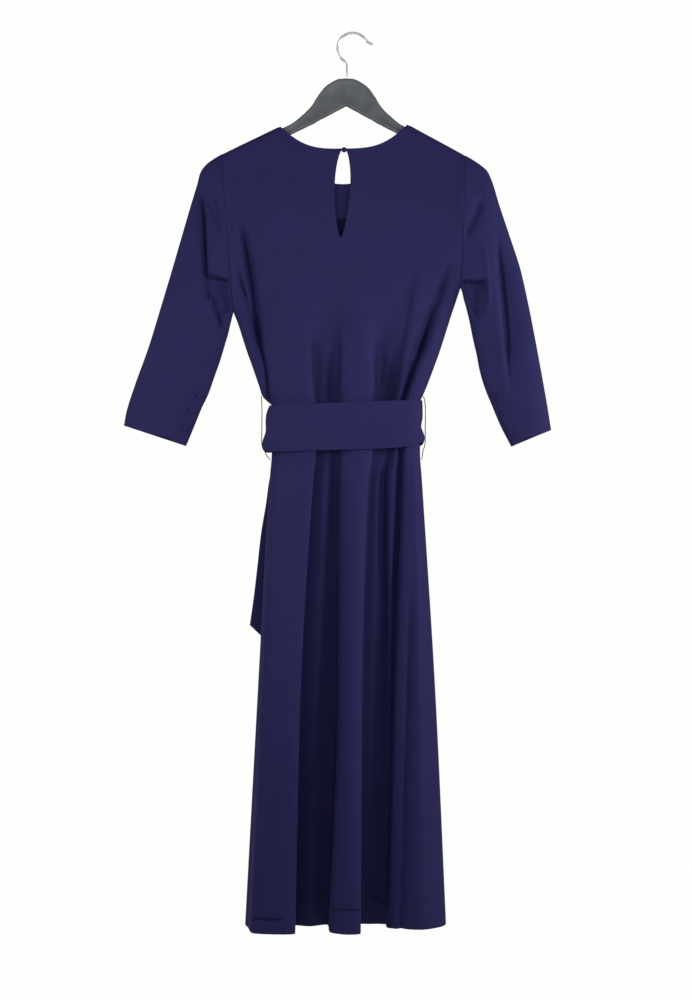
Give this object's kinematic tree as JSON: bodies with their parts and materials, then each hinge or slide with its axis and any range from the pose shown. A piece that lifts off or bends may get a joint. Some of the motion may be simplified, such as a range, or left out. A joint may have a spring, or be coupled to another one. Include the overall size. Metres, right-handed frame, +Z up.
{
  "type": "a-line dress on a coat hanger",
  "caption": "Midi-length A-line dress with three-quarter sleeves, keyhole back and wide tie belt, hanging on a coat hanger.",
  "frame": {"origin": "top of the inside of the hanger's hook, where it bears on a rail", "axes": "+Z up, -Y towards the back of the dress, +Y towards its front, +X to the right as seen from the back"},
  "size_m": [0.6756, 0.1398, 1.4116],
  "materials": {
    "crepe": "matte navy crepe",
    "thread": "navy sewing thread",
    "plastic": "dark grey satin plastic",
    "wire": "polished plated wire"
  },
  "bodies": {
    "root": {"dress_back": "crepe", "dress_front": "crepe", "sleeve_left": "crepe", "sleeve_right": "crepe", "front_neck_facing": "crepe", "neck_button": "crepe", "neck_loop": "thread", "cuff_overlap_left": "crepe", "cuff_overlap_right": "crepe", "cuff_button_left_1": "crepe", "cuff_button_left_2": "crepe", "cuff_button_left_3": "crepe", "cuff_button_right_1": "crepe", "cuff_button_right_2": "crepe", "cuff_button_right_3": "crepe", "belt_back": "crepe", "belt_front": "crepe", "belt_knot": "crepe", "tie_end_left": "crepe", "tie_end_right": "crepe", "belt_loop_left": "thread", "belt_loop_right": "thread", "hanger_body": "plastic", "hanger_hook": "wire"}
  },
  "joints": []
}
